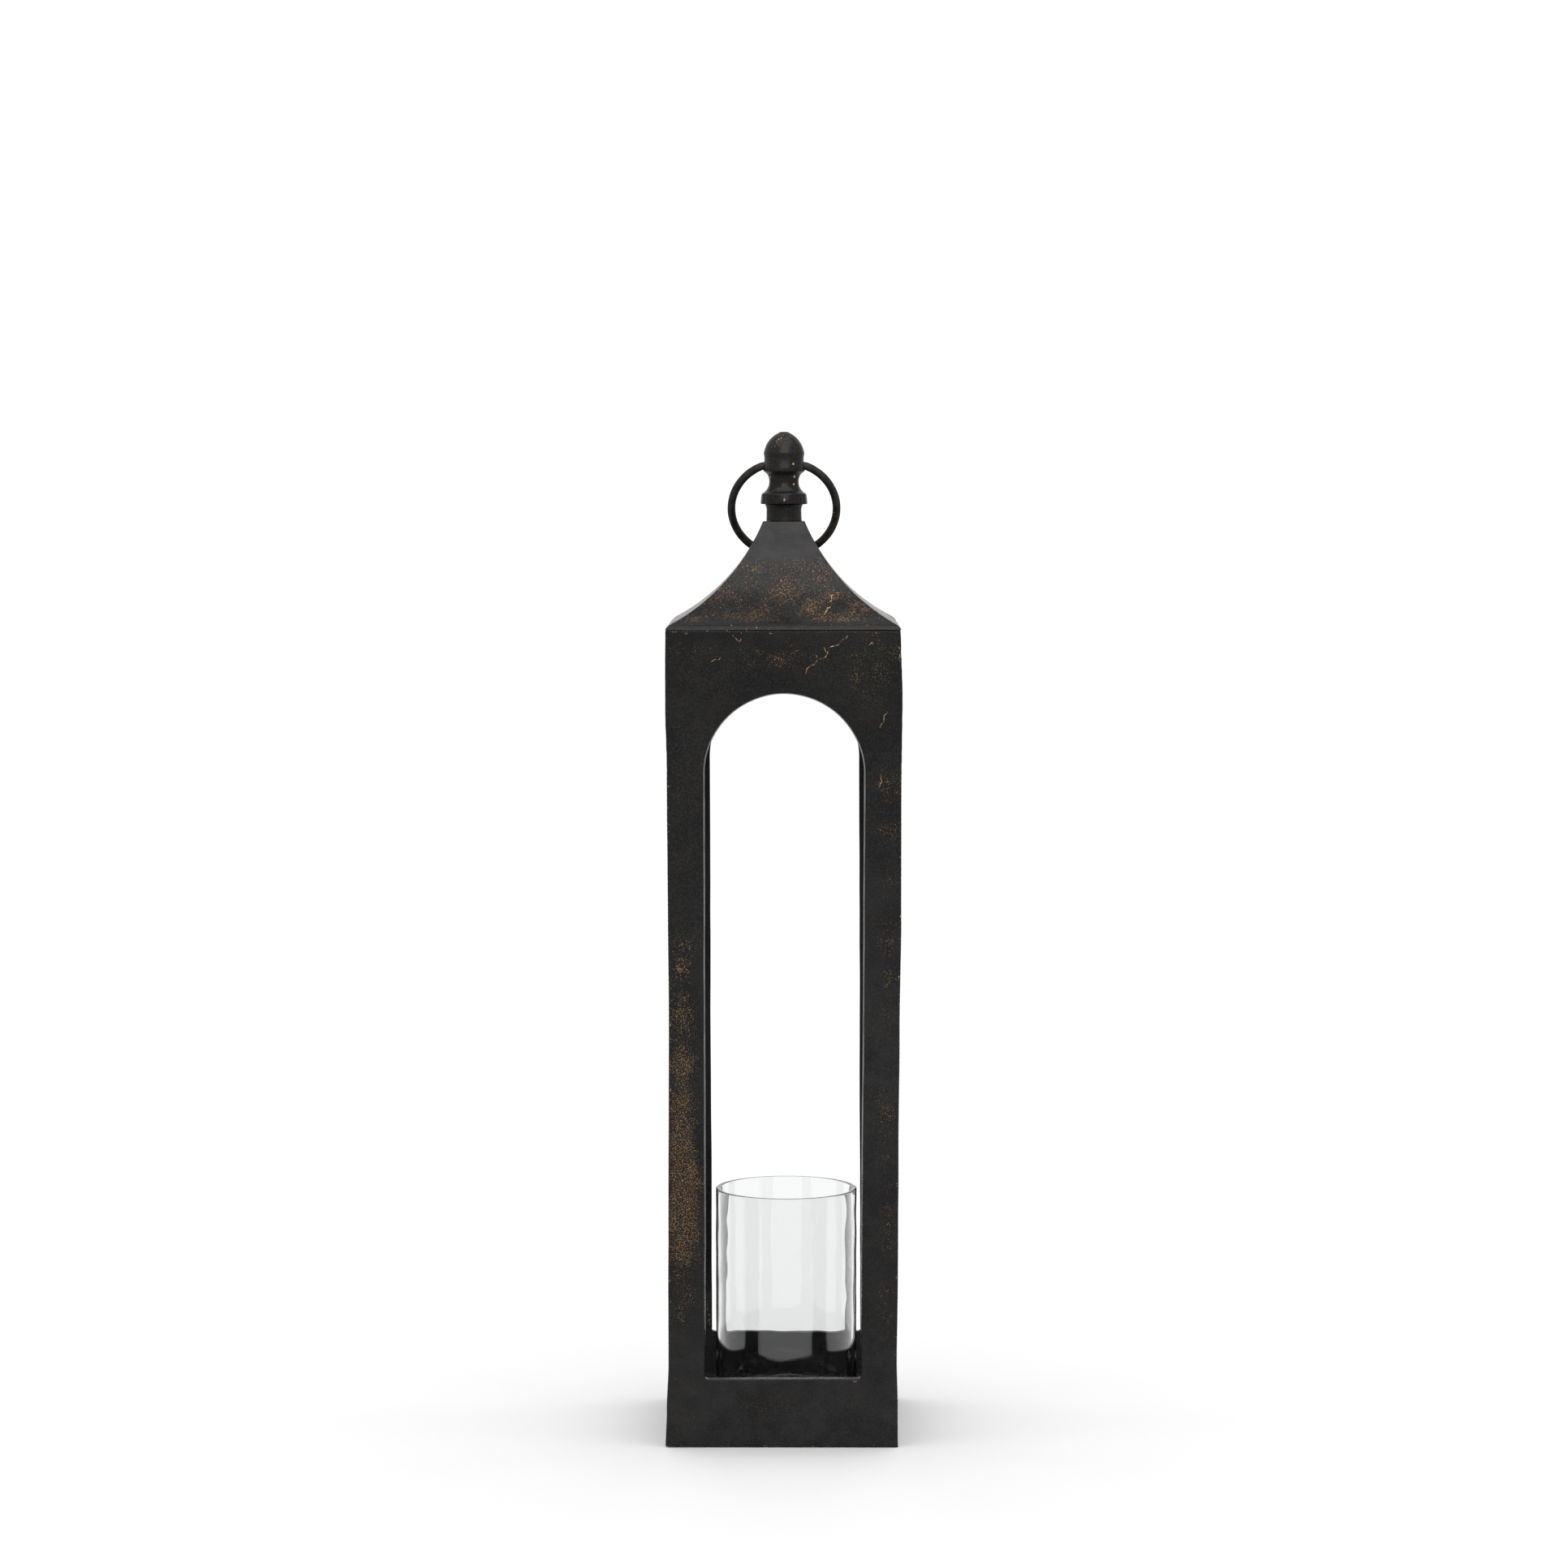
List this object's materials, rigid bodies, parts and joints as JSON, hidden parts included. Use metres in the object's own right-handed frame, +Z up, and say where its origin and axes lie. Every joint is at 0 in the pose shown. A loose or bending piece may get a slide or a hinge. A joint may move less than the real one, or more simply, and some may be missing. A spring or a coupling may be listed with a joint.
{
  "type": "candle lantern",
  "caption": "Tall square lantern with arched openings, concave pyramid roof, acorn finial, swinging ring handle and a lift-out glass cylinder for a pillar candle.",
  "frame": {"origin": "centre of the square base, on the surface that the lantern stands on", "axes": "+Z up towards the finial, -Y towards the front, X across, along the axis on which the ring handle swings"},
  "size_m": [0.165, 0.165, 0.72],
  "materials": {
    "cast_metal": "sand-cast, blackened, with a fine copper and gold speckle rubbed through",
    "blackened_wire": "blackened steel wire with a brown cast",
    "zinc_steel": "zinc plated",
    "clear_glass": "clear, polished"
  },
  "bodies": {
    "lantern": {"front_panel": "cast_metal", "back_panel": "cast_metal", "left_panel": "cast_metal", "right_panel": "cast_metal", "floor_plate": "cast_metal", "lower_bracket_front_left": "cast_metal", "lower_bracket_front_right": "cast_metal", "lower_bracket_rear_left": "cast_metal", "lower_bracket_rear_right": "cast_metal", "upper_bracket_front_left": "cast_metal", "upper_bracket_front_right": "cast_metal", "upper_bracket_rear_left": "cast_metal", "upper_bracket_rear_right": "cast_metal", "panel_screws": "zinc_steel", "floor_screws": "zinc_steel", "roof_screws": "zinc_steel", "roof": "cast_metal", "roof_collar": "cast_metal", "finial": "cast_metal", "finial_stud": "zinc_steel", "stud_washer": "zinc_steel", "stud_nut": "zinc_steel"},
    "handle": {"ring_handle": "blackened_wire"},
    "glass": {"glass_cylinder": "clear_glass"}
  },
  "joints": [
    {"name": "ring_swing", "type": "hinge", "parent": "lantern", "child": "handle", "pos_m": [0, 0, 0.6955], "axis": [1, 0, 0], "range_deg": [0, 306.8]},
    {"name": "glass_lift", "type": "slide", "parent": "lantern", "child": "glass", "axis": [0, 0, 1], "range_m": [0, 0.04]}
  ]
}
